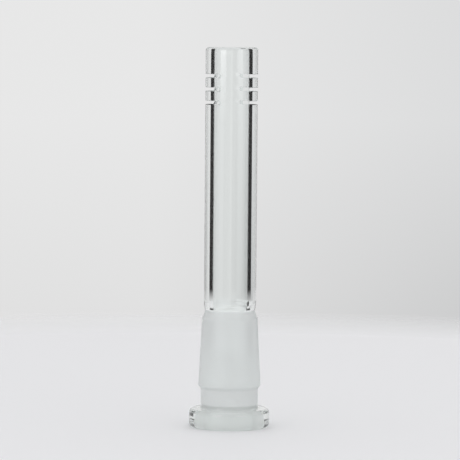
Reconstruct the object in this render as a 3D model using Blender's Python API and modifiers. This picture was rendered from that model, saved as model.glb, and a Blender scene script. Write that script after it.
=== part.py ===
"""A clear glass diffuser down-tube with ground joints, in metres, +Z up.

The piece stands on its flange with the slotted end of the stem at the top. Outside it has a
19/22 ground cone and inside it a 14/23 ground socket, both with the standard 1:10 taper. The
origin is the centre of the face that it rests on, +Z runs up the axis, and the two columns of
saw cuts face +X and -X. The glass is modelled as the blanks that a glassblower fuses together,
each a turned solid that ends at a seam, with a hair of clearance to the next one.
"""

import math

import bmesh
import bpy
from mathutils import Vector

MM = 0.001

# Driving dimensions
TOTAL_HEIGHT = 114.8 * MM
STEM_RADIUS = 7.9 * MM
BORE_RADIUS = 5.4 * MM  # 2.5 mm wall
TAPER = 1.0 / 10.0  # change of diameter over length, for both ground joints

CONE_WIDE_RADIUS = 9.4 * MM  # 18.8 mm, the wide end of a 19/22 cone
CONE_WIDE_Z = 12.6 * MM
CONE_LENGTH = 19.5 * MM  # up to the seam; the grinding runs on over the shoulder
CONE_CHAMFER = 0.9 * MM

SOCKET_MOUTH_RADIUS = 7.25 * MM  # 14.5 mm, the mouth of a 14/23 socket
SOCKET_LENGTH = 23.0 * MM

FLANGE_RADIUS = 12.2 * MM
FLANGE_HEIGHT = 5.6 * MM
FLANGE_ROUND = 1.3 * MM
FLANGE_ROOT_ROUND = 0.9 * MM
MOUTH_ROUND = 0.7 * MM
NECK_RADIUS = 8.66 * MM

WAIST_RADIUS = 7.5 * MM  # the narrowest part of the flame seal
WAIST_Z = 35.0 * MM
WAIST_ROUND = 2.5 * MM
WAIST_START_DROP = 0.9 * MM  # from the stem's seam to where the stem starts to narrow
WAIST_START_ROUND = 6.0 * MM
SHOULDER_Z = 33.0 * MM
SHOULDER_ROUND = 1.0 * MM
THROAT_RADIUS = 5.15 * MM  # the glass gathers a little inwards where it was fused
THROAT_Z = 36.0 * MM
THROAT_ROUND = 3.0 * MM
LOW_BORE_RADIUS = 5.6 * MM  # between the throat and the ground socket
LOW_BORE_DROP = 2.2 * MM
LOW_BORE_ROUND = 1.5 * MM

TIP_OUTER_ROUND = 1.0 * MM
TIP_INNER_ROUND = 0.5 * MM
LIP_RADIUS = 5.32 * MM  # the fire polish leaves a faint bead inside the tip
LIP_DROP = 0.7 * MM
LIP_ROUND = 2.0 * MM
LIP_ROOT_DROP = 1.9 * MM
LIP_ROOT_ROUND = 4.0 * MM

SLOT_KERF = 1.15 * MM
SLOT_PITCH = 4.02 * MM
SLOT_ROWS = 3
FIRST_SLOT_DROP = 8.6 * MM  # from the tip to the middle of the first cut
SLOT_CHORD = 4.3 * MM  # from the axis to the floor of a cut
SLOT_CORNER = 0.35 * MM  # the saw blade's worn edge

# Seams between the fused pieces
FLANGE_SEAM_Z = 6.9 * MM
CONE_SEAM_Z = CONE_WIDE_Z - CONE_CHAMFER
SHOULDER_SEAM_Z = CONE_WIDE_Z + CONE_LENGTH
STEM_SEAM_Z = 38.4 * MM
SEAM_GAP = 0.3 * MM

SIDES = 72
ARC_POINTS = 5


def clear_scene():
    """Removes every object of the open scene."""
    for item in list(bpy.data.objects):
        bpy.data.objects.remove(item, do_unlink=True)


def new_collection(name):
    """A collection linked to the scene."""
    collection = bpy.data.collections.new(name)
    bpy.context.scene.collection.children.link(collection)
    return collection


def glass(name, color, roughness):
    """A Principled glass of the given tint and surface roughness."""
    material = bpy.data.materials.new(name)
    material.use_nodes = True
    shader = material.node_tree.nodes["Principled BSDF"]
    shader.inputs["Base Color"].default_value = (*color, 1.0)
    shader.inputs["Roughness"].default_value = roughness
    shader.inputs["Metallic"].default_value = 0.0
    shader.inputs["IOR"].default_value = 1.47
    shader.inputs["Transmission Weight"].default_value = 0.9
    return material


def rounded(corners):
    """An outline through the corners (radius, height, rounding), with an arc at each corner."""
    points = []
    count = len(corners)
    for index, (x, z, rounding) in enumerate(corners):
        corner = Vector((x, z))
        if rounding == 0:
            points.append(corner)
            continue
        before = Vector(corners[index - 1][:2]) - corner
        after = Vector(corners[(index + 1) % count][:2]) - corner
        half = before.angle(after) / 2
        reach = rounding / math.tan(half)
        middle = corner + (before.normalized() + after.normalized()).normalized() * (
            rounding / math.sin(half)
        )
        first = corner + before.normalized() * reach - middle
        turn = first.angle_signed(corner + after.normalized() * reach - middle)
        for step in range(ARC_POINTS):
            angle = -turn * step / (ARC_POINTS - 1)
            spoke = Vector(
                (
                    first.x * math.cos(angle) - first.y * math.sin(angle),
                    first.x * math.sin(angle) + first.y * math.cos(angle),
                )
            )
            points.append(middle + spoke)
    return points


def turned(name, corners, material, collection):
    """A solid of revolution about Z. The corners run down the outer side and up the bore."""
    outline = rounded(corners)
    mesh = bpy.data.meshes.new(name)
    edges = [(i, (i + 1) % len(outline)) for i in range(len(outline))]
    mesh.from_pydata([(point.x, 0.0, point.y) for point in outline], edges, [])
    item = bpy.data.objects.new(name, mesh)
    collection.objects.link(item)
    screw = item.modifiers.new("turn", "SCREW")
    screw.axis = "Z"
    screw.angle = math.tau
    screw.steps = SIDES
    screw.render_steps = SIDES
    screw.use_merge_vertices = True
    screw.merge_threshold = 0.00001
    screw.use_smooth_shade = True
    mesh.materials.append(material)
    return item


def cone_radius(z):
    """The outer radius of the ground cone at a height."""
    return CONE_WIDE_RADIUS - (z - CONE_WIDE_Z) * TAPER / 2


def socket_radius(z):
    """The radius of the bore at a height: the ground socket, then plain glass up to the seal."""
    ground = min(z, SOCKET_LENGTH)
    radius = SOCKET_MOUTH_RADIUS - ground * TAPER / 2
    above = max(z - SOCKET_LENGTH, 0.0) / (SHOULDER_SEAM_Z - SOCKET_LENGTH)
    return radius + (LOW_BORE_RADIUS - SOCKET_MOUTH_RADIUS + SOCKET_LENGTH * TAPER / 2) * above


def make_flange(material, collection):
    """The thick flange at the mouth of the socket, up to just above its root."""
    top = FLANGE_SEAM_Z - SEAM_GAP / 2
    return turned(
        "base_flange",
        [
            (NECK_RADIUS, top, 0),
            (NECK_RADIUS, FLANGE_HEIGHT, FLANGE_ROOT_ROUND),
            (FLANGE_RADIUS, FLANGE_HEIGHT, FLANGE_ROUND),
            (FLANGE_RADIUS, 0.0, FLANGE_ROUND),
            (SOCKET_MOUTH_RADIUS, 0.0, MOUTH_ROUND),
            (socket_radius(top), top, 0),
        ],
        material,
        collection,
    )


def make_neck(material, collection):
    """The neck between the flange and the ground cone."""
    low = FLANGE_SEAM_Z + SEAM_GAP / 2
    high = CONE_SEAM_Z - SEAM_GAP / 2
    return turned(
        "joint_neck",
        [
            (NECK_RADIUS, high, 0),
            (NECK_RADIUS, low, 0),
            (socket_radius(low), low, 0),
            (socket_radius(high), high, 0),
        ],
        material,
        collection,
    )


def make_cone(material, collection):
    """The ground cone, with the ground socket and the end of the bore inside it."""
    low = CONE_SEAM_Z + SEAM_GAP / 2
    high = SHOULDER_SEAM_Z - SEAM_GAP / 2
    foot = NECK_RADIUS + (CONE_WIDE_RADIUS - NECK_RADIUS) * SEAM_GAP / 2 / CONE_CHAMFER
    return turned(
        "ground_cone",
        [
            (cone_radius(high), high, 0),
            (CONE_WIDE_RADIUS, CONE_WIDE_Z, 0),
            (foot, low, 0),
            (socket_radius(low), low, 0),
            (socket_radius(SOCKET_LENGTH), SOCKET_LENGTH, 0),
            (socket_radius(high), high, 0),
        ],
        material,
        collection,
    )


def make_seal(material, collection):
    """The flame seal: the stem narrows to a waist and swells out to the cone's shoulder."""
    low = SHOULDER_SEAM_Z + SEAM_GAP / 2
    high = STEM_SEAM_Z - SEAM_GAP / 2
    return turned(
        "flame_seal",
        [
            (STEM_RADIUS, high, 0),
            (STEM_RADIUS, STEM_SEAM_Z - WAIST_START_DROP, WAIST_START_ROUND),
            (WAIST_RADIUS, WAIST_Z, WAIST_ROUND),
            (cone_radius(SHOULDER_Z), SHOULDER_Z, SHOULDER_ROUND),
            (cone_radius(low), low, 0),
            (LOW_BORE_RADIUS, low, 0),
            (LOW_BORE_RADIUS, THROAT_Z - LOW_BORE_DROP, LOW_BORE_ROUND),
            (THROAT_RADIUS, THROAT_Z, THROAT_ROUND),
            (BORE_RADIUS, high, 0),
        ],
        material,
        collection,
    )


def make_stem(material, collection, cutters):
    """The long tube with its fire-polished tip and the saw cuts of the diffuser."""
    low = STEM_SEAM_Z + SEAM_GAP / 2
    stem = turned(
        "stem_tube",
        [
            (STEM_RADIUS, TOTAL_HEIGHT, TIP_OUTER_ROUND),
            (STEM_RADIUS, low, 0),
            (BORE_RADIUS, low, 0),
            (BORE_RADIUS, TOTAL_HEIGHT - LIP_ROOT_DROP, LIP_ROOT_ROUND),
            (LIP_RADIUS, TOTAL_HEIGHT - LIP_DROP, LIP_ROUND),
            (LIP_RADIUS, TOTAL_HEIGHT, TIP_INNER_ROUND),
        ],
        material,
        collection,
    )
    for side, label in ((1, "right"), (-1, "left")):
        for row in range(SLOT_ROWS):
            height = TOTAL_HEIGHT - FIRST_SLOT_DROP - row * SLOT_PITCH
            cutter = slot_cutter(f"saw_{label}_{row + 1}", side, height, cutters)
            cut = stem.modifiers.new(cutter.name, "BOOLEAN")
            cut.operation = "DIFFERENCE"
            cut.solver = "EXACT"
            cut.object = cutter
    return stem


def slot_cutter(name, side, height, collection):
    """The block of glass that one straight pass of the saw takes out, seen from above a chord."""
    outer = STEM_RADIUS * 1.25
    mesh = bpy.data.meshes.new(name)
    shape = bmesh.new()
    bmesh.ops.create_cube(shape, size=1.0)
    depth = outer - SLOT_CHORD
    bmesh.ops.scale(shape, vec=(depth, outer * 2, SLOT_KERF), verts=shape.verts)
    inner = [
        edge
        for edge in shape.edges
        if all(vertex.co.x * side < 0 for vertex in edge.verts)
        and abs(edge.verts[0].co.z - edge.verts[1].co.z) < SLOT_KERF / 2
    ]
    bmesh.ops.bevel(
        shape, geom=inner, offset=SLOT_CORNER, segments=3, profile=0.5, affect="EDGES"
    )
    shape.to_mesh(mesh)
    shape.free()
    cutter = bpy.data.objects.new(name, mesh)
    cutter.location = (side * (SLOT_CHORD + depth / 2), 0.0, height)
    cutter.hide_render = True
    cutter.display_type = "WIRE"
    collection.objects.link(cutter)
    return cutter


def main():
    clear_scene()
    parts = new_collection("diffuser_down_tube")
    cutters = new_collection("saw_cutters")
    stand = bpy.data.objects.new("down_tube_frame", None)
    parts.objects.link(stand)
    pieces = [
        make_flange(glass("flange_glass", (0.84, 0.88, 0.87), 0.03), parts),
        make_neck(glass("neck_glass", (0.86, 0.89, 0.88), 0.12), parts),
        make_cone(glass("ground_glass", (0.80, 0.84, 0.83), 0.55), parts),
        make_seal(glass("seal_glass", (0.85, 0.88, 0.88), 0.03), parts),
        make_stem(glass("stem_glass", (0.85, 0.87, 0.86), 0.02), parts, cutters),
    ]
    for piece in pieces:
        piece.parent = stand


main()
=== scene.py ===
import math

import bmesh
import bpy
from mathutils import Matrix, Vector


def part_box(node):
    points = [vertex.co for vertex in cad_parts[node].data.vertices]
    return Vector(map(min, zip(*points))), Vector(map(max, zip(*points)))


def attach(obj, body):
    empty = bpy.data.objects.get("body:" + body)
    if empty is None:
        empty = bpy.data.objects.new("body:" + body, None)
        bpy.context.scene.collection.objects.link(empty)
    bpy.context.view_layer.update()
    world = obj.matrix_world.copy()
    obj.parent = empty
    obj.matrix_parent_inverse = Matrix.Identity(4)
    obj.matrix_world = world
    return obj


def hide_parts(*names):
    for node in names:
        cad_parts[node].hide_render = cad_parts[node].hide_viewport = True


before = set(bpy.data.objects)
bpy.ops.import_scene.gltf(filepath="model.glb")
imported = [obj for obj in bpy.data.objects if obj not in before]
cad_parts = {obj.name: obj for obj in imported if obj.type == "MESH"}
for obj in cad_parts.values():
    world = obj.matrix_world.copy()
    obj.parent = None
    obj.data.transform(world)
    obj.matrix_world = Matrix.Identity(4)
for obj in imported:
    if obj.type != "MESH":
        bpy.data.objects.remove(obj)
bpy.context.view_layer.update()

MM = 0.001
SIDES = 256
ARC_STEPS = 10
RING_PITCH = 1.0 * MM
SMOOTH_LIMIT = math.radians(32)

# Sizes that the frame gives
STEM_LOW, STEM_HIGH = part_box("stem_tube")
SEAL_LOW, SEAL_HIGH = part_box("flame_seal")
CONE_LOW, CONE_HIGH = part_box("ground_cone")
NECK_LOW, NECK_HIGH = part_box("joint_neck")
_, FLANGE_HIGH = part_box("base_flange")
TIP_Z = STEM_HIGH.z
STEM_SEAM = (STEM_LOW.z + SEAL_HIGH.z) / 2
SHOULDER_SEAM = (SEAL_LOW.z + CONE_HIGH.z) / 2
CONE_SEAM = (CONE_LOW.z + NECK_HIGH.z) / 2
FLANGE_SEAM = (NECK_LOW.z + FLANGE_HIGH.z) / 2
STEM_RADIUS = STEM_HIGH.x
CONE_RADIUS = CONE_HIGH.x
NECK_RADIUS = NECK_HIGH.x
FLANGE_RADIUS = FLANGE_HIGH.x

# Sizes that no box of the frame shows, as the CAD has them but for two that are marked
TAPER = 0.1  # change of diameter over length
BORE_RADIUS = 5.4 * MM
CONE_WIDE_Z = 12.6 * MM
MOUTH_RADIUS = 7.25 * MM
SOCKET_DEPTH = 23.0 * MM
FLANGE_TOP = 5.6 * MM
FLANGE_ROUND = 1.3 * MM
ROOT_ROUND = 0.9 * MM
MOUTH_ROUND = 0.7 * MM
CONE_EDGE_ROUND = 0.25 * MM  # the CAD's edge is sharp
WAIST_START_DROP = 0.9 * MM
WAIST_START_ROUND = 6.0 * MM
WAIST_RADIUS = 7.5 * MM
WAIST_Z = 35.0 * MM
WAIST_ROUND = 2.5 * MM
SHOULDER_Z = 33.0 * MM
SHOULDER_ROUND = 1.0 * MM
THROAT_RADIUS = 5.15 * MM
THROAT_Z = 36.0 * MM
THROAT_ROUND = 3.0 * MM
LOW_BORE_RADIUS = 5.6 * MM
LOW_BORE_DROP = 2.2 * MM
LOW_BORE_ROUND = 1.5 * MM
TIP_OUTER_ROUND = 1.0 * MM
TIP_INNER_ROUND = 0.5 * MM
LIP_RADIUS = 5.32 * MM
LIP_DROP = 0.7 * MM
LIP_ROUND = 2.0 * MM
LIP_ROOT_DROP = 1.9 * MM
LIP_ROOT_ROUND = 4.0 * MM
SLOT_KERF = 1.15 * MM
SLOT_PITCH = 4.02 * MM
SLOT_ROWS = 3
FIRST_SLOT = 8.6 * MM
SLOT_CHORD = 4.3 * MM
SLOT_CORNER = 0.4 * MM  # the CAD's is 0.35 mm
SLOT_CORNER_STEPS = 6
SAW_REACH = 1.25 * STEM_RADIUS  # how far from the axis the saw's block goes

# Looks of the glass
GLASS_IOR = 1.47
LAMP_TINT = (0.93, 0.95, 0.94, 1)
HAZE_ROUGHNESS = 0.03  # where the polish is worst
GROUND_SPREAD = 0.06  # how far the roughness of ground glass strays either way
DRAWN_RIPPLE = 0.002 * MM
WORKED_RIPPLE = 0.004 * MM
GROUND_RELIEF = 0.03 * MM
NECK_RELIEF = 0.3 * MM
SAWN_IOR = 1.05  # low, so that light goes nearly straight on through the cut faces


# ---------------------------------------------------------------- shader nodes
def add_node(tree, kind, inputs=None, **settings):
    """A shader node with its settings, and its inputs set to values or linked to sockets."""
    made = tree.nodes.new(kind)
    for key, value in settings.items():
        setattr(made, key, value)
    for key, value in (inputs or {}).items():
        if isinstance(value, bpy.types.NodeSocket):
            tree.links.new(value, made.inputs[key])
        else:
            made.inputs[key].default_value = value
    return made


def empty_material(name):
    material = bpy.data.materials.new(name)
    material.use_nodes = True
    material.node_tree.nodes.clear()
    return material, material.node_tree


def noise_at(tree, stretch, scale, detail, roughness=0.5):
    """A noise over the piece, in features per metre, stretched by a factor along each axis."""
    coords = add_node(tree, "ShaderNodeTexCoord")
    mapping = add_node(
        tree,
        "ShaderNodeMapping",
        {"Vector": coords.outputs["Object"], "Scale": stretch},
    )
    made = add_node(
        tree,
        "ShaderNodeTexNoise",
        {
            "Vector": mapping.outputs["Vector"],
            "Scale": scale,
            "Detail": detail,
            "Roughness": roughness,
        },
    )
    return made.outputs["Fac"]


def ranged(tree, value, low, high, start, end):
    """A value from start to end, mapped to low to high."""
    made = add_node(
        tree,
        "ShaderNodeMapRange",
        {
            "Value": value,
            "From Min": start,
            "From Max": end,
            "To Min": low,
            "To Max": high,
        },
    )
    return made.outputs["Result"]


def mixed(tree, factor, first, second):
    """A colour that runs from the first to the second as the factor runs from 0 to 1."""
    made = add_node(
        tree,
        "ShaderNodeMix",
        {"Factor": factor, "A": first, "B": second},
        data_type="RGBA",
    )
    return made.outputs["Result"]


def coordinate(tree, source, axis):
    """One coordinate of the shaded point, or of the ray's direction in the world."""
    coords = add_node(tree, "ShaderNodeTexCoord")
    split = add_node(tree, "ShaderNodeSeparateXYZ", {0: coords.outputs[source]})
    return split.outputs[axis]


def bumped(tree, height, distance, strength=1.0):
    made = add_node(
        tree,
        "ShaderNodeBump",
        {"Height": height, "Distance": distance, "Strength": strength},
    )
    return made.outputs["Normal"]


def glass_output(tree, shader):
    """Lets lamps through the glass, so that it casts a pale shadow as real glass does."""
    path = add_node(tree, "ShaderNodeLightPath")
    clear = add_node(tree, "ShaderNodeBsdfTransparent", {"Color": LAMP_TINT})
    mix = add_node(
        tree,
        "ShaderNodeMixShader",
        {0: path.outputs["Is Shadow Ray"], 1: shader.outputs[0], 2: clear.outputs[0]},
    )
    add_node(tree, "ShaderNodeOutputMaterial", {"Surface": mix.outputs[0]})


def principled(tree, color, roughness, transmission, normal, ior):
    return add_node(
        tree,
        "ShaderNodeBsdfPrincipled",
        {
            "Base Color": color,
            "Roughness": roughness,
            "IOR": ior,
            "Transmission Weight": transmission,
            "Normal": normal,
        },
    )


def clear_glass(name, tint, ripple):
    """Drawn and fire-polished glass: nearly perfect, with faint streaks and a trace of haze."""
    material, tree = empty_material(name)
    streaks = noise_at(tree, stretch=(1, 1, 0.06), scale=420, detail=3)
    haze = noise_at(tree, stretch=(1, 1, 0.7), scale=160, detail=4, roughness=0.6)
    shader = principled(
        tree,
        (*tint, 1),
        ranged(tree, haze, low=0, high=HAZE_ROUGHNESS, start=0.52, end=0.8),
        1.0,
        bumped(tree, streaks, ripple),
        GLASS_IOR,
    )
    glass_output(tree, shader)
    return material


def ground_glass(
    name, tint, roughness, transmission, relief=GROUND_RELIEF, ior=GLASS_IOR
):
    """Ground glass: matt, whitish, with the fine rings that the grinding leaves."""
    material, tree = empty_material(name)
    grain = noise_at(tree, stretch=(1, 1, 1), scale=9000, detail=2)
    rings = noise_at(tree, stretch=(0.05, 0.05, 1), scale=1500, detail=3)
    cloud = noise_at(tree, stretch=(1, 1, 1), scale=180, detail=3)
    height = add_node(
        tree, "ShaderNodeMath", {0: grain, 1: rings}, operation="ADD"
    ).outputs[0]
    roughest = roughness + GROUND_SPREAD
    finest = roughness - GROUND_SPREAD
    shader = principled(
        tree,
        (*tint, 1),
        ranged(tree, cloud, low=finest, high=roughest, start=0.3, end=0.7),
        transmission,
        bumped(tree, height, relief, strength=0.5),
        ior,
    )
    glass_output(tree, shader)
    return material


def seam_material():
    """The fused faces, where glass goes on into glass with no surface between."""
    material, tree = empty_material("fused_seam")
    clear = add_node(tree, "ShaderNodeBsdfTransparent")
    add_node(tree, "ShaderNodeOutputMaterial", {"Surface": clear.outputs[0]})
    return material


# ---------------------------------------------------------------- shapes
def placed(name, data):
    """A new object in the scene."""
    made = bpy.data.objects.new(name, data)
    bpy.context.scene.collection.objects.link(made)
    return made


def mesh_of(name, shape):
    """A mesh from a bmesh, which is freed."""
    mesh = bpy.data.meshes.new(name)
    shape.to_mesh(mesh)
    shape.free()
    return mesh


def arc(corner, before, after, rounding):
    """The points of the arc that rounds a corner between its two neighbours."""
    to_before = (before - corner).normalized()
    to_after = (after - corner).normalized()
    half = to_before.angle(to_after) / 2
    centre = corner + (to_before + to_after).normalized() * rounding / math.sin(half)
    first = corner + to_before * rounding / math.tan(half) - centre
    last = corner + to_after * rounding / math.tan(half) - centre
    turn = -first.angle_signed(last)
    return [
        centre + Matrix.Rotation(turn * step / ARC_STEPS, 2) @ first
        for step in range(ARC_STEPS + 1)
    ]


def outline(corners):
    """A closed outline of (radius, height) points, each with the zone of the stretch after it.

    A corner is (radius, height, rounding, zone). Straight stretches get a ring every RING_PITCH.
    """
    points = []
    count = len(corners)
    for index, (radius, z, rounding, zone) in enumerate(corners):
        here = Vector((radius, z))
        if rounding:
            before = Vector(corners[index - 1][:2])
            after = Vector(corners[(index + 1) % count][:2])
            points += [(point, zone) for point in arc(here, before, after, rounding)]
        else:
            points.append((here, zone))
    dense = []
    for index, (point, zone) in enumerate(points):
        following = points[(index + 1) % len(points)][0]
        steps = max(1, round((following - point).length / RING_PITCH))
        if zone == "seam":
            steps = 1
        dense += [(point.lerp(following, step / steps), zone) for step in range(steps)]
    return dense


def turned(name, corners, materials):
    """A closed solid of revolution. The corners run down the outside and up the bore."""
    rings = outline(corners)
    slots = list(dict.fromkeys(materials.values()))
    vertices = []
    for point, _ in rings:
        for side in range(SIDES):
            angle = math.tau * side / SIDES
            vertices.append(
                (point.x * math.cos(angle), point.x * math.sin(angle), point.y)
            )
    faces = []
    indices = []
    for ring, (_, zone) in enumerate(rings):
        below = (ring + 1) % len(rings)
        for side in range(SIDES):
            beside = (side + 1) % SIDES
            faces.append(
                (
                    ring * SIDES + side,
                    below * SIDES + side,
                    below * SIDES + beside,
                    ring * SIDES + beside,
                )
            )
            indices.append(slots.index(materials[zone]))
    mesh = bpy.data.meshes.new(name)
    mesh.from_pydata(vertices, [], faces)
    for material in slots:
        mesh.materials.append(material)
    mesh.polygons.foreach_set("material_index", indices)
    mesh.shade_smooth()
    mesh.set_sharp_from_angle(angle=SMOOTH_LIMIT)
    mesh.update()
    return placed(name, mesh)


def socket_radius(z):
    return MOUTH_RADIUS - z * TAPER / 2


def cone_radius(z):
    return CONE_RADIUS - (z - CONE_WIDE_Z) * TAPER / 2


def saw_cuts(material):
    """One object with a block for each pass of the saw, its floor's edges worn round."""
    shape = bmesh.new()
    depth = SAW_REACH - SLOT_CHORD
    for side in (1, -1):
        for row in range(SLOT_ROWS):
            z = TIP_Z - FIRST_SLOT - row * SLOT_PITCH
            centre = Vector((side * (SLOT_CHORD + depth / 2), 0, z))
            place = Matrix.Translation(centre) @ Matrix.Diagonal(
                (depth, 2 * SAW_REACH, SLOT_KERF, 1)
            )
            made = bmesh.ops.create_cube(shape, size=1.0, matrix=place)
            inner = {
                edge
                for vertex in made["verts"]
                for edge in vertex.link_edges
                if all((v.co.x - centre.x) * side < 0 for v in edge.verts)
                and abs(edge.verts[0].co.z - edge.verts[1].co.z) < SLOT_KERF / 2
            }
            bmesh.ops.bevel(
                shape,
                geom=list(inner),
                offset=SLOT_CORNER,
                segments=SLOT_CORNER_STEPS,
                profile=0.5,
                affect="EDGES",
            )
    mesh = mesh_of("saw", shape)
    mesh.materials.append(material)
    return placed("saw", mesh)


def cut(piece, cutter):
    """Cuts the piece, and applies the cut. The cut faces take the cutter's material."""
    modifier = piece.modifiers.new("cut", "BOOLEAN")
    modifier.operation = "DIFFERENCE"
    modifier.solver = "EXACT"
    modifier.material_mode = "TRANSFER"
    modifier.object = cutter
    graph = bpy.context.evaluated_depsgraph_get()
    mesh = bpy.data.meshes.new_from_object(piece.evaluated_get(graph))
    piece.modifiers.clear()
    old = piece.data
    piece.data = mesh
    bpy.data.meshes.remove(old)
    bpy.data.objects.remove(cutter)
    mesh.name = piece.name
    mesh.shade_smooth()
    mesh.set_sharp_from_angle(angle=SMOOTH_LIMIT)


# ---------------------------------------------------------------- the pieces
def stem_piece(clear, sawn, seam):
    piece = turned(
        "stem_tube_glass",
        [
            (STEM_RADIUS, TIP_Z, TIP_OUTER_ROUND, "wall"),
            (STEM_RADIUS, STEM_SEAM, 0, "seam"),
            (BORE_RADIUS, STEM_SEAM, 0, "bore"),
            (BORE_RADIUS, TIP_Z - LIP_ROOT_DROP, LIP_ROOT_ROUND, "bore"),
            (LIP_RADIUS, TIP_Z - LIP_DROP, LIP_ROUND, "bore"),
            (LIP_RADIUS, TIP_Z, TIP_INNER_ROUND, "wall"),
        ],
        {"wall": clear, "bore": clear, "seam": seam},
    )
    cut(piece, saw_cuts(sawn))
    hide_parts("stem_tube")
    return piece


def seal_piece(clear, ground, seam):
    piece = turned(
        "flame_seal_glass",
        [
            (STEM_RADIUS, STEM_SEAM, 0, "wall"),
            (STEM_RADIUS, STEM_SEAM - WAIST_START_DROP, WAIST_START_ROUND, "wall"),
            (WAIST_RADIUS, WAIST_Z, WAIST_ROUND, "ground"),
            (cone_radius(SHOULDER_Z), SHOULDER_Z, SHOULDER_ROUND, "ground"),
            (cone_radius(SHOULDER_SEAM), SHOULDER_SEAM, 0, "seam"),
            (LOW_BORE_RADIUS, SHOULDER_SEAM, 0, "bore"),
            (LOW_BORE_RADIUS, THROAT_Z - LOW_BORE_DROP, LOW_BORE_ROUND, "bore"),
            (THROAT_RADIUS, THROAT_Z, THROAT_ROUND, "bore"),
            (BORE_RADIUS, STEM_SEAM, 0, "seam"),
        ],
        {"wall": clear, "ground": ground, "bore": clear, "seam": seam},
    )
    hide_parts("flame_seal")
    return piece


def cone_piece(ground, clear, socket, seam):
    piece = turned(
        "ground_cone_glass",
        [
            (cone_radius(SHOULDER_SEAM), SHOULDER_SEAM, 0, "wall"),
            (CONE_RADIUS, CONE_WIDE_Z, CONE_EDGE_ROUND, "wall"),
            (NECK_RADIUS, CONE_SEAM, 0, "seam"),
            (socket_radius(CONE_SEAM), CONE_SEAM, 0, "socket"),
            (socket_radius(SOCKET_DEPTH), SOCKET_DEPTH, 0, "bore"),
            (LOW_BORE_RADIUS, SHOULDER_SEAM, 0, "seam"),
        ],
        {"wall": ground, "bore": clear, "socket": socket, "seam": seam},
    )
    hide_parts("ground_cone")
    return piece


def neck_piece(ground, socket, seam):
    piece = turned(
        "joint_neck_glass",
        [
            (NECK_RADIUS, CONE_SEAM, 0, "wall"),
            (NECK_RADIUS, FLANGE_SEAM, 0, "seam"),
            (socket_radius(FLANGE_SEAM), FLANGE_SEAM, 0, "socket"),
            (socket_radius(CONE_SEAM), CONE_SEAM, 0, "seam"),
        ],
        {"wall": ground, "socket": socket, "seam": seam},
    )
    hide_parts("joint_neck")
    return piece


def flange_piece(clear, socket, seam):
    piece = turned(
        "base_flange_glass",
        [
            (NECK_RADIUS, FLANGE_SEAM, 0, "wall"),
            (NECK_RADIUS, FLANGE_TOP, ROOT_ROUND, "wall"),
            (FLANGE_RADIUS, FLANGE_TOP, FLANGE_ROUND, "wall"),
            (FLANGE_RADIUS, 0, FLANGE_ROUND, "wall"),
            (MOUTH_RADIUS, 0, MOUTH_ROUND, "socket"),
            (socket_radius(FLANGE_SEAM), FLANGE_SEAM, 0, "seam"),
        ],
        {"wall": clear, "socket": socket, "seam": seam},
    )
    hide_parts("base_flange")
    return piece


# ---------------------------------------------------------------- the studio
CAMERA_AZIMUTH = math.radians(-9)
CAMERA_AWAY = 0.8986  # from the axis of the glass, along the table
CAMERA_HEIGHT = 0.1264
CAMERA_TILT = math.radians(4.247)  # looking down
CAMERA_PAN = math.radians(0.011)
CAMERA_ROLL = math.radians(0.45)
FIELD_OF_VIEW = math.radians(8.818)


def direction(azimuth, elevation=0.0):
    """A unit vector. Azimuth is from straight ahead of the front view, towards its right."""
    flat = math.cos(elevation)
    return Vector(
        (math.sin(azimuth) * flat, math.cos(azimuth) * flat, math.sin(elevation))
    )


def make_camera():
    data = bpy.data.cameras.new("camera")
    data.angle = FIELD_OF_VIEW
    data.clip_end = 10
    camera = placed("camera", data)
    camera.location = direction(-CAMERA_AZIMUTH) * -CAMERA_AWAY
    camera.location.z = CAMERA_HEIGHT
    ahead = direction(-CAMERA_AZIMUTH - CAMERA_PAN, -CAMERA_TILT)
    camera.rotation_mode = "QUATERNION"
    turn = Matrix.Rotation(CAMERA_ROLL, 4, "Z")
    camera.rotation_quaternion = (
        ahead.to_track_quat("-Z", "Y").to_matrix().to_4x4() @ turn
    ).to_quaternion()
    bpy.context.scene.camera = camera


FLOOR_RADIUS = 0.345
FLOOR_FADE = 0.085
FLOOR_COLOR = (0.83, 0.83, 0.84, 1)
FLOOR_RELIEF = 0.03 * MM


def make_floor():
    """A round pale table top that fades out at its edge."""
    material, tree = empty_material("table")
    coords = add_node(tree, "ShaderNodeTexCoord")
    length = add_node(
        tree, "ShaderNodeVectorMath", {0: coords.outputs["Object"]}, operation="LENGTH"
    )
    away = length.outputs["Value"]
    edge = ranged(tree, away, 0, 1, FLOOR_RADIUS - FLOOR_FADE, FLOOR_RADIUS)
    grain = noise_at(tree, stretch=(1, 1, 1), scale=900, detail=3)
    paper = add_node(
        tree,
        "ShaderNodeBsdfPrincipled",
        {
            "Base Color": FLOOR_COLOR,
            "Roughness": 0.6,
            "Normal": bumped(tree, grain, FLOOR_RELIEF, strength=0.3),
        },
    )
    clear = add_node(tree, "ShaderNodeBsdfTransparent")
    mix = add_node(
        tree,
        "ShaderNodeMixShader",
        {0: edge, 1: paper.outputs[0], 2: clear.outputs[0]},
    )
    add_node(tree, "ShaderNodeOutputMaterial", {"Surface": mix.outputs[0]})
    shape = bmesh.new()
    bmesh.ops.create_circle(shape, cap_ends=True, radius=FLOOR_RADIUS, segments=128)
    mesh = mesh_of("floor", shape)
    mesh.materials.append(material)
    floor = placed("floor", mesh)
    floor.visible_transmission = False


CARD_STEPS = 24


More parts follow.
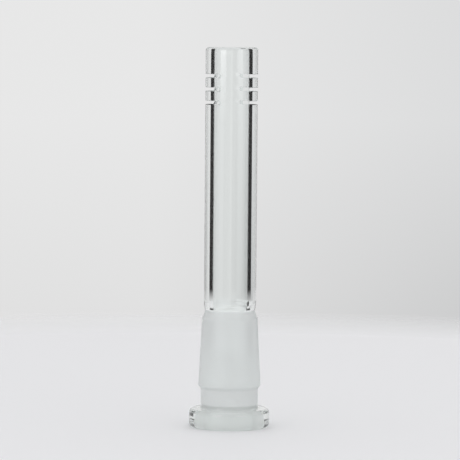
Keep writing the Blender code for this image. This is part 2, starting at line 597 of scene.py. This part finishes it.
def make_card(name, azimuths, distance, heights, seen, material):
    """A curved card round the object, which only the glass sees, through it or mirrored."""
    first, last = (math.radians(a) for a in azimuths)
    vertices = []
    for step in range(CARD_STEPS + 1):
        spot = direction(first + (last - first) * step / CARD_STEPS) * distance
        vertices += [(spot.x, spot.y, heights[0]), (spot.x, spot.y, heights[1])]
    faces = [(2 * s, 2 * s + 1, 2 * s + 3, 2 * s + 2) for s in range(CARD_STEPS)]
    mesh = bpy.data.meshes.new(name)
    mesh.from_pydata(vertices, [], faces)
    mesh.materials.append(material)
    card = placed(name, mesh)
    card.visible_camera = False
    card.visible_diffuse = False
    card.visible_shadow = False
    card.visible_transmission = seen != "mirrored"
    card.visible_glossy = seen != "through"


# The black cards: azimuths, distance, heights, and how the glass shows them
CARDS = (
    ((46, 97), 0.41, (-0.001, 0.16), "both"),
    ((97, 111), 0.41, (0.0, 0.16), "mirrored"),
    ((-79, -28), 0.41, (-0.003, 0.16), "both"),
    ((-93, -79), 0.41, (0.0, 0.16), "mirrored"),
    ((-165, -127), 0.41, (0.0, 0.16), "through"),
    ((-120, -82), 2.0, (-0.95, -0.65), "through"),
    ((20, 34), 2.0, (-0.95, -0.65), "through"),
    ((172, 210), 2.0, (-0.55, -0.25), "through"),
    ((60, 98), 2.0, (-0.55, -0.25), "through"),
)
# The softbox faces that the glass mirrors: azimuths, distance, heights, and strength
WINDOWS = (
    ((-147, -121), 1.0, (0.05, 0.7), 3.6),
    ((139, 167), 1.0, (0.05, 0.7), 2.0),
)
CARD_BLACK = (0.005, 0.004, 0.004, 1)
WINDOW_WHITE = (1, 1, 1.02, 1)
WINDOW_DIM = 0.2  # strength at the lower edge
WINDOW_DIM_Z = 0.055
WINDOW_FULL_Z = 0.105


def make_cards():
    standing = black_material("standing_card", gone=-0.002, full=0.0035)
    hanging = black_material("hanging_card", gone=-1.0, full=-0.96)
    for index, card in enumerate(CARDS):
        material = standing if card[2][1] > 0 else hanging
        make_card(f"card_{index + 1}", *card, material)
    for index, (*card, strength) in enumerate(WINDOWS):
        glow = window_material(f"window_{index + 1}", strength)
        make_card(f"window_{index + 1}", *card, "mirrored", glow)


def black_material(name, gone, full):
    """Black that fades away between two heights, and that light scattered by the glass passes."""
    material, tree = empty_material(name)
    path = add_node(tree, "ShaderNodeLightPath")
    faded = ranged(tree, coordinate(tree, "Object", "Z"), 1, 0, gone, full)
    share = add_node(
        tree,
        "ShaderNodeMath",
        {0: path.outputs["Diffuse Depth"], 1: faded},
        operation="MAXIMUM",
    )
    black = add_node(tree, "ShaderNodeEmission", {"Color": CARD_BLACK})
    clear = add_node(tree, "ShaderNodeBsdfTransparent")
    mix = add_node(
        tree,
        "ShaderNodeMixShader",
        {0: share.outputs[0], 1: black.outputs[0], 2: clear.outputs[0]},
    )
    add_node(tree, "ShaderNodeOutputMaterial", {"Surface": mix.outputs[0]})
    return material


def window_material(name, strength):
    """A bright softbox face that is dim at its lower edge."""
    material, tree = empty_material(name)
    height = coordinate(tree, "Object", "Z")
    fade = ranged(tree, height, WINDOW_DIM, strength, WINDOW_DIM_Z, WINDOW_FULL_Z)
    light = add_node(
        tree, "ShaderNodeEmission", {"Color": WINDOW_WHITE, "Strength": fade}
    )
    add_node(tree, "ShaderNodeOutputMaterial", {"Surface": light.outputs[0]})
    material.cycles.emission_sampling = "NONE"
    return material


# The world, in greys. Each _X, _Y and _Z is a coordinate of the ray's direction.
SWEEP_TOP_LEFT = 0.803
SWEEP_LOW_LEFT = 0.752
SWEEP_LEFT_X = 0.130
SWEEP_TOP_Z = -0.037
SWEEP_LOW_Z = -0.101
TABLE_EDGE_Z = -0.112
TABLE_GREY = (0.765, 0.765, 0.77, 1)  # the table as the glass refracts it
ROOM_DARK = (0.2, 0.2, 0.2, 1)  # the room as the glass mirrors it
ROOM_PALE = (0.78, 0.78, 0.78, 1)
ROOM_DARK_Y = 0.65
ROOM_PALE_Y = 0.85
INSIDE_GREY = (0.93, 0.93, 0.94, 1)  # what a ray meets once ground glass has scattered it
DEEP_GREY = (1.07, 1.08, 1.08, 1)  # the same, after going through two surfaces


def backdrop(tree, right_x, top_right, low_right):
    """The grey of the sweep behind the glass, with its light and shade painted in: paler at the
    top and on the left.
    """
    across = ranged(
        tree, coordinate(tree, "Generated", "X"), 0, 1, SWEEP_LEFT_X, right_x
    )
    down = ranged(
        tree, coordinate(tree, "Generated", "Z"), 0, 1, SWEEP_TOP_Z, SWEEP_LOW_Z
    )
    top, low = (
        mixed(
            tree,
            across,
            (left, left, left, 1),
            (right, right * 1.005, right * 1.01, 1),
        )
        for left, right in ((SWEEP_TOP_LEFT, top_right), (SWEEP_LOW_LEFT, low_right))
    )
    return mixed(tree, down, top, low)


def make_world():
    """What each kind of ray sees past the table: the camera, and rays in and off the glass."""
    world = bpy.data.worlds.new("studio")
    bpy.context.scene.world = world
    world.use_nodes = True
    world.cycles.sampling_method = "NONE"
    tree = world.node_tree
    tree.nodes.clear()
    rays = add_node(tree, "ShaderNodeLightPath").outputs
    height = coordinate(tree, "Generated", "Z")
    ahead = coordinate(tree, "Generated", "Y")
    # Through the glass: the sweep with painted shade that deepens to the right, then the table's
    # grey below it.
    refracted = mixed(
        tree,
        ranged(tree, height, 0, 1, SWEEP_LOW_Z, TABLE_EDGE_Z),
        backdrop(tree, right_x=0.52, top_right=0.75, low_right=0.53),
        TABLE_GREY,
    )
    mirrored = mixed(
        tree, ranged(tree, ahead, 0, 1, ROOM_DARK_Y, ROOM_PALE_Y), ROOM_DARK, ROOM_PALE
    )
    scattered = mixed(
        tree,
        ranged(tree, rays["Transmission Depth"], 0, 1, 1, 2),
        INSIDE_GREY,
        DEEP_GREY,
    )
    glass = mixed(tree, rays["Is Transmission Ray"], mirrored, refracted)
    glass = mixed(tree, rays["Diffuse Depth"], glass, scattered)
    # The sweep as the camera sees it, with painted light and shade: darkest low on the right.
    seen = backdrop(tree, right_x=0.2304, top_right=0.720, low_right=0.617)
    color = mixed(tree, rays["Is Camera Ray"], glass, seen)
    glow = add_node(tree, "ShaderNodeBackground", {"Color": color, "Strength": 1.0})
    add_node(tree, "ShaderNodeOutputWorld", {"Surface": glow.outputs[0]})


# The lamps: name, azimuth, elevation, distance, size, and power
LAMPS = (
    ("softbox_left", -135, 30, 1.4, (0.7, 1.0), 0.8),
    ("softbox_right", 100, 35, 1.6, (0.6, 0.9), 0.5),
    ("softbox_top", 0, 88, 1.6, (1.0, 1.0), 1.2),
)


def make_light(name, azimuth, elevation, distance, size, power):
    data = bpy.data.lights.new(name, "AREA")
    data.shape = "RECTANGLE"
    data.size, data.size_y = size
    data.energy = power
    light = placed(name, data)
    away = direction(math.radians(azimuth), math.radians(elevation))
    light.location = away * distance
    light.rotation_mode = "QUATERNION"
    light.rotation_quaternion = (-away).to_track_quat("-Z", "Y")


def main():
    seam = seam_material()
    stem = clear_glass("stem_clear", (0.97, 0.985, 0.98), DRAWN_RIPPLE)
    worked = clear_glass("worked_clear", (0.965, 0.985, 0.98), WORKED_RIPPLE)
    thick = clear_glass("flange_clear", (0.955, 0.98, 0.972), WORKED_RIPPLE)
    cone = ground_glass("cone_ground", (0.95, 0.975, 0.968), 0.42, 0.5)
    socket = ground_glass("socket_ground", (0.985, 1.0, 0.995), 0.45, 0.15)
    neck = ground_glass("neck_ground", (0.945, 0.965, 0.96), 0.45, 0.4, NECK_RELIEF)
    sawn = ground_glass("saw_cut", (0.88, 0.94, 0.92), 0.4, 1.0, ior=SAWN_IOR)
    for piece in (
        stem_piece(stem, sawn, seam),
        seal_piece(worked, cone, seam),
        cone_piece(cone, worked, socket, seam),
        neck_piece(neck, socket, seam),
        flange_piece(thick, socket, seam),
    ):
        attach(piece, "root")
    make_camera()
    make_floor()
    make_cards()
    make_world()
    for lamp in LAMPS:
        make_light(*lamp)
    scene = bpy.context.scene
    scene.view_settings.view_transform = "Standard"
    scene.cycles.caustics_reflective = False
    scene.cycles.caustics_refractive = True
    scene.cycles.max_bounces = 24
    scene.cycles.diffuse_bounces = 12
    scene.cycles.glossy_bounces = 24
    scene.cycles.transmission_bounces = 24
    scene.cycles.transparent_max_bounces = 24


main()
